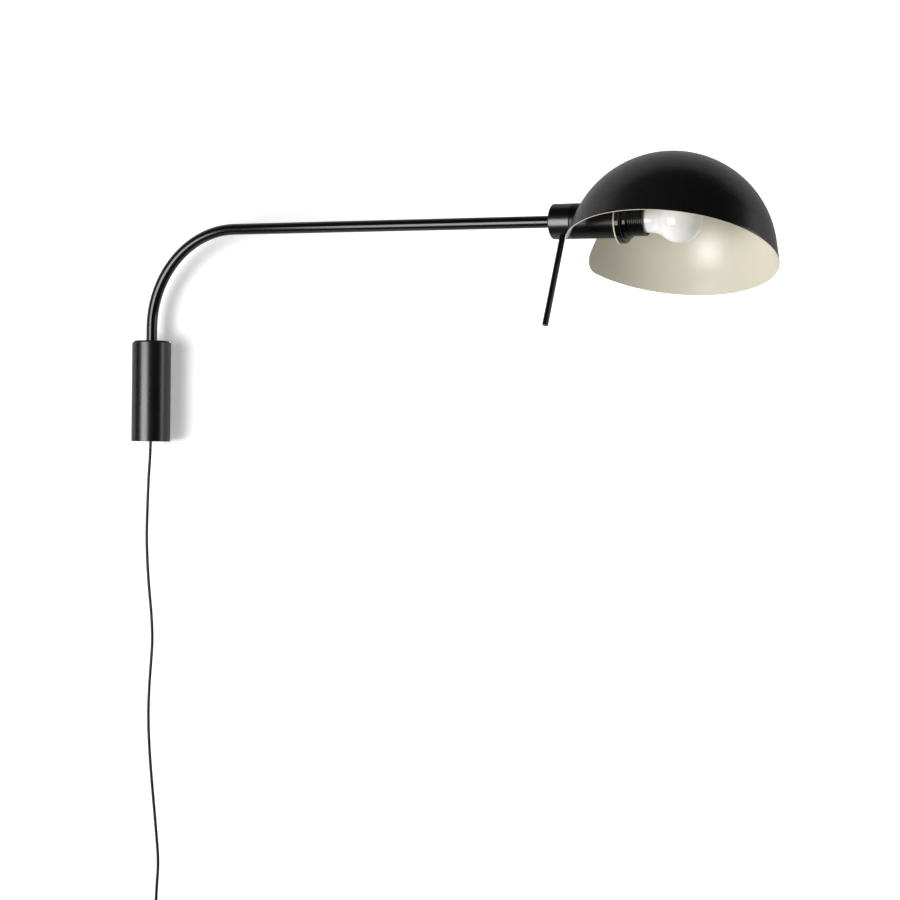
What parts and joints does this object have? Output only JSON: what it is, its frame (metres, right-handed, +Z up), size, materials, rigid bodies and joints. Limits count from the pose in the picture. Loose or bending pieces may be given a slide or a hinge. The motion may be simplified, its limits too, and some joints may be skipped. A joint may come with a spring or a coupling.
{
  "type": "swing-arm wall sconce",
  "caption": "Plug-in wall sconce: a bent tube arm swings on a wall cylinder and carries a half-round metal shade that turns on the arm's axis with an aiming rod.",
  "frame": {"origin": "centre of the wall plate's back face, on the wall, behind the middle of the wall cylinder", "axes": "+X along the wall towards the shade at rest, +Y into the wall, +Z up"},
  "size_m": [0.8373, 0.5, 1.1827],
  "materials": {
    "black_coat": "satin black powder coat",
    "cream_coat": "satin cream coat",
    "steel": "zinc-plated",
    "aluminium": "turned",
    "bush_plastic": "moulded acetal",
    "holder_plastic": "moulded, fine satin",
    "ring_plastic": "glossy phenolic",
    "white_plastic": "moulded",
    "brass": "plated",
    "opal_glass": "opal",
    "cord_black": "extruded sheath",
    "plug_plastic": "moulded"
  },
  "bodies": {
    "base": {"wall_plate": "steel", "base_housing": "black_coat", "hanging_studs": "steel", "top_cap": "black_coat", "upper_bush": "bush_plastic", "bearing_carrier": "aluminium", "carrier_screws": "steel", "lower_bush": "bush_plastic", "bottom_cap": "black_coat", "cap_screws": "steel", "cord_grommet": "cord_black", "chassis": "steel", "terminal_block": "white_plastic", "terminal_screws": "steel", "cord_clamp": "white_plastic", "clamp_screws": "steel", "cord": "cord_black", "switch_back": "plug_plastic", "switch_front": "plug_plastic", "cord_coil": "cord_black", "coil_tie": "cord_black", "plug_body": "plug_plastic", "plug_pins": "brass"},
    "arm": {"thrust_washer": "bush_plastic", "stop_collar": "aluminium", "collar_grub_screw": "steel", "arm_tube": "black_coat", "arm_circlip": "steel", "arm_end_bush": "bush_plastic", "arm_cable": "cord_black", "swivel_insert": "aluminium"},
    "head": {"swivel_washer": "bush_plastic", "swivel_stub": "black_coat", "swivel_circlip": "steel", "head_collar": "black_coat", "stub_nut": "steel", "aim_rod": "black_coat", "rod_nut": "steel", "holder_tube": "black_coat", "head_grub_screws": "steel", "holder_nipple": "steel", "nipple_nut": "steel", "lampholder_cap": "holder_plastic", "lampholder_sleeve": "holder_plastic", "lampholder_core": "white_plastic", "screw_shell": "brass", "holder_contact": "brass", "shade_ring": "ring_plastic", "bulb_cap": "aluminium", "bulb_contact": "brass", "bulb_glass": "opal_glass", "shade": "black_coat", "shade_bracket": "cream_coat", "head_cable": "cord_black"},
    "rocker": {"switch_rocker": "plug_plastic"}
  },
  "joints": [
    {"name": "arm_swing", "type": "hinge", "parent": "base", "child": "arm", "pos_m": [0, -0.03, 0], "axis": [0, 0, 1], "range_deg": [-142, 13]},
    {"name": "shade_turn", "type": "hinge", "parent": "arm", "child": "head", "pos_m": [0.52733, -0.28492, 0.20799], "axis": [0.8999, -0.435, -0.0297], "range_deg": [-133, 167]},
    {"name": "switch_rock", "type": "hinge", "parent": "base", "child": "rocker", "pos_m": [0.0136, -0.031, -0.757], "axis": [1, 0, 0], "range_deg": [-16, 0]}
  ]
}
